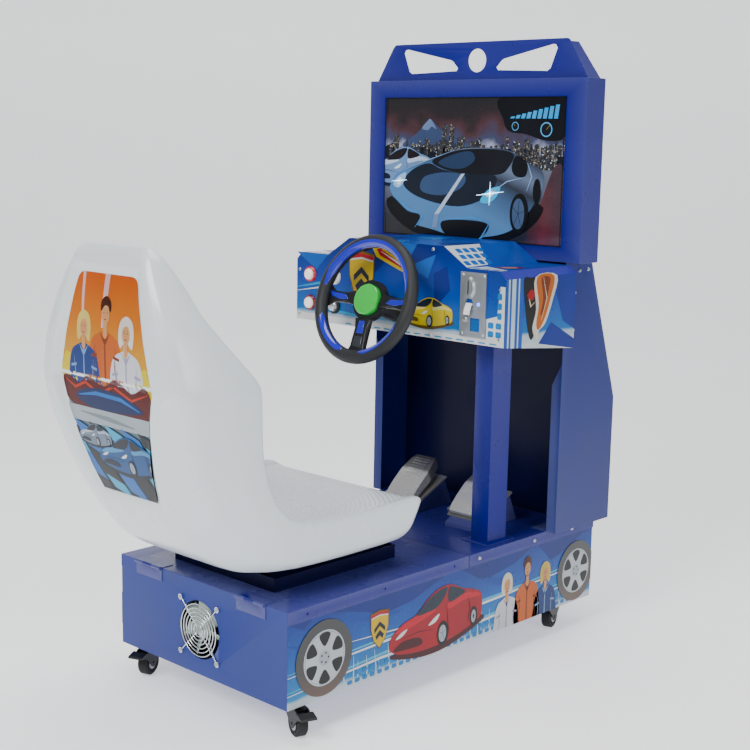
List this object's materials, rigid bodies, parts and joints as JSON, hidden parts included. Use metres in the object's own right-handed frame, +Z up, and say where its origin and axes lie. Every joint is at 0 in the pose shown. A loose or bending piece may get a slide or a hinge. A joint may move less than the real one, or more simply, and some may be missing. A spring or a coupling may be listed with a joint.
{
  "type": "sit-down arcade racing cabinet",
  "caption": "sit-down racing cabinet: wheeled base with hinged bucket seat, tower with monitor and header, control box with steering wheel, buttons and coin slot, two pedals",
  "frame": {"origin": "on the floor, below the middle of the overall box", "axes": "+X to the player's right, +Y from the seat to the monitor, +Z up"},
  "size_m": [0.591, 1.16, 1.263],
  "materials": {
    "blue_paint": "gloss powder coat, printed panels",
    "deep_blue_paint": "gloss powder coat",
    "navy_paint": "satin powder coat",
    "zinc_steel": "zinc plated",
    "black_plastic": "satin",
    "pale_plastic": "satin",
    "dark_steel": "satin",
    "seat_plastic": "smooth moulded",
    "tread_rubber": "matt",
    "speaker_black": "paper cone",
    "cast_silver": "cast, satin",
    "white_plastic": "gloss",
    "silver_cap": "gloss",
    "grip_rubber": "fine leather-like grain",
    "green_gloss": "gloss",
    "pale_cast": "cast, painted pale",
    "screen_black": "lit screen"
  },
  "bodies": {
    "cabinet": {"base_tub": "blue_paint", "floor_plate": "deep_blue_paint", "panel_screws": "zinc_steel", "fan_frame": "black_plastic", "fan_guard": "zinc_steel", "power_supply": "zinc_steel", "game_computer": "dark_steel", "mains_inlet": "black_plastic", "cash_box": "zinc_steel", "hinge_leaves": "deep_blue_paint", "caster_plates": "zinc_steel", "tower_side_right": "deep_blue_paint", "tower_side_left": "deep_blue_paint", "tower_inner_back": "navy_paint", "tower_back": "deep_blue_paint", "coin_post": "deep_blue_paint", "control_box": "blue_paint", "speakers": "speaker_black", "coin_plate": "cast_silver", "coin_mech": "black_plastic", "button_housings": "white_plastic", "steering_bearing": "black_plastic", "steering_pot": "black_plastic", "pedal_ramps": "deep_blue_paint", "pedal_plates": "pale_cast", "gas_spring": "zinc_steel", "brake_spring": "zinc_steel", "monitor_shell": "deep_blue_paint", "lcd_panel": "screen_black", "monitor_back": "deep_blue_paint", "marquee": "deep_blue_paint"},
    "seat_body": {"seat_lid": "deep_blue_paint", "seat_tray": "navy_paint", "seat_bolts": "zinc_steel", "seat_shell": "seat_plastic"},
    "fan": {"fan_rotor": "pale_plastic"},
    "rocker": {"power_rocker": "black_plastic"},
    "steering": {"steering_shaft": "zinc_steel", "wheel_frame": "dark_steel", "wheel_rim": "grip_rubber", "shaft_gear": "pale_plastic"},
    "horn": {"horn_cap": "green_gloss"},
    "pot": {"pot_gear": "pale_plastic"},
    "button_1": {"button_cap_1": "white_plastic"},
    "button_2": {"button_cap_2": "white_plastic"},
    "button_3": {"button_cap_3": "white_plastic"},
    "button_4": {"button_cap_4": "silver_cap"},
    "coin_lever": {"coin_return_lever": "white_plastic"},
    "gas": {"gas_pedal": "pale_cast"},
    "brake": {"brake_pedal": "pale_cast"},
    "fork_rr": {"caster_fork_rr": "black_plastic"},
    "wheel_rr": {"caster_wheel_rr": "tread_rubber"},
    "treadle_rr": {"caster_brake_rr": "black_plastic"},
    "fork_rl": {"caster_fork_rl": "black_plastic"},
    "wheel_rl": {"caster_wheel_rl": "tread_rubber"},
    "treadle_rl": {"caster_brake_rl": "black_plastic"},
    "fork_fr": {"caster_fork_fr": "black_plastic"},
    "wheel_fr": {"caster_wheel_fr": "tread_rubber"},
    "fork_fl": {"caster_fork_fl": "black_plastic"},
    "wheel_fl": {"caster_wheel_fl": "tread_rubber"}
  },
  "joints": [
    {"name": "lid_hinge", "type": "hinge", "parent": "cabinet", "child": "seat_body", "pos_m": [0, -0.364, 0.243], "axis": [1, 0, 0], "range_deg": [0, 65]},
    {"name": "fan_spin", "type": "hinge", "parent": "cabinet", "child": "fan", "pos_m": [0, -0.3585, 0.1495], "axis": [0, 1, 0], "continuous": true},
    {"name": "rocker_tilt", "type": "hinge", "parent": "cabinet", "child": "rocker", "pos_m": [-0.15, 0.56, 0.159], "axis": [1, 0, 0], "range_deg": [-16, 0]},
    {"name": "steering_turn", "type": "hinge", "parent": "cabinet", "child": "steering", "pos_m": [0, 0.07, 0.738], "axis": [0, -0.9511, 0.309], "range_deg": [-135, 135], "stiffness_Nm_per_rad": 0.35},
    {"name": "horn_press", "type": "slide", "parent": "steering", "child": "horn", "axis": [0, 0.9511, -0.309], "range_m": [0, 0.003], "stiffness_N_per_m": 600, "springref_m": -0.003},
    {"name": "pot_turn", "type": "hinge", "parent": "cabinet", "child": "pot", "pos_m": [0, 0.07834, 0.76368], "axis": [0, -0.9511, 0.309], "range_deg": [-270, 270]},
    {"name": "button_press_1", "type": "slide", "parent": "cabinet", "child": "button_1", "axis": [0, 1, 0], "range_m": [0, 0.004], "stiffness_N_per_m": 400, "springref_m": -0.002},
    {"name": "button_press_2", "type": "slide", "parent": "cabinet", "child": "button_2", "axis": [0, 1, 0], "range_m": [0, 0.004], "stiffness_N_per_m": 400, "springref_m": -0.002},
    {"name": "button_press_3", "type": "slide", "parent": "cabinet", "child": "button_3", "axis": [0, 1, 0], "range_m": [0, 0.004], "stiffness_N_per_m": 400, "springref_m": -0.002},
    {"name": "button_press_4", "type": "slide", "parent": "cabinet", "child": "button_4", "axis": [0, 1, 0], "range_m": [0, 0.004], "stiffness_N_per_m": 400, "springref_m": -0.002},
    {"name": "coin_lever_tilt", "type": "hinge", "parent": "cabinet", "child": "coin_lever", "pos_m": [0.203, 0.155, 0.7405], "axis": [1, 0, 0], "range_deg": [0, 14], "stiffness_Nm_per_rad": 0.03, "springref_deg": -20.05},
    {"name": "gas_press", "type": "hinge", "parent": "cabinet", "child": "gas", "pos_m": [0.098, 0.288, 0.274], "axis": [-1, 0, 0], "range_deg": [0, 10], "stiffness_Nm_per_rad": 3, "springref_deg": -14.9, "deforming": ["gas_spring"]},
    {"name": "brake_press", "type": "hinge", "parent": "cabinet", "child": "brake", "pos_m": [-0.087, 0.288, 0.274], "axis": [-1, 0, 0], "range_deg": [0, 10], "stiffness_Nm_per_rad": 4, "springref_deg": -14.9, "deforming": ["brake_spring"]},
    {"name": "caster_swivel_rr", "type": "hinge", "parent": "cabinet", "child": "fork_rr", "pos_m": [0.202, -0.31, 0.053], "axis": [0, 0, 1], "continuous": true},
    {"name": "caster_roll_rr", "type": "hinge", "parent": "fork_rr", "child": "wheel_rr", "pos_m": [0.22267, -0.31752, 0.025], "axis": [0.342, 0.9397, 0], "continuous": true},
    {"name": "caster_brake_rr", "type": "hinge", "parent": "fork_rr", "child": "treadle_rr", "pos_m": [0.24335, -0.32505, 0.045], "axis": [0.342, 0.9397, 0], "range_deg": [0, 12]},
    {"name": "caster_swivel_rl", "type": "hinge", "parent": "cabinet", "child": "fork_rl", "pos_m": [-0.202, -0.31, 0.053], "axis": [0, 0, 1], "continuous": true},
    {"name": "caster_roll_rl", "type": "hinge", "parent": "fork_rl", "child": "wheel_rl", "pos_m": [-0.19448, -0.33067, 0.025], "axis": [0.9397, 0.342, 0], "continuous": true},
    {"name": "caster_brake_rl", "type": "hinge", "parent": "fork_rl", "child": "treadle_rl", "pos_m": [-0.18695, -0.35135, 0.045], "axis": [0.9397, 0.342, 0], "range_deg": [0, 12]},
    {"name": "caster_swivel_fr", "type": "hinge", "parent": "cabinet", "child": "fork_fr", "pos_m": [0.202, 0.45, 0.053], "axis": [0, 0, 1], "continuous": true},
    {"name": "caster_roll_fr", "type": "hinge", "parent": "fork_fr", "child": "wheel_fr", "pos_m": [0.19631, 0.47125, 0.025], "axis": [-0.9659, -0.2588, 0], "continuous": true},
    {"name": "caster_swivel_fl", "type": "hinge", "parent": "cabinet", "child": "fork_fl", "pos_m": [-0.202, 0.45, 0.053], "axis": [0, 0, 1], "continuous": true},
    {"name": "caster_roll_fl", "type": "hinge", "parent": "fork_fl", "child": "wheel_fl", "pos_m": [-0.19818, 0.47167, 0.025], "axis": [-0.9848, 0.1736, 0], "continuous": true}
  ],
  "couplings": [
    {"joint": "pot_turn", "follows": "steering_turn", "ratio": -2}
  ]
}
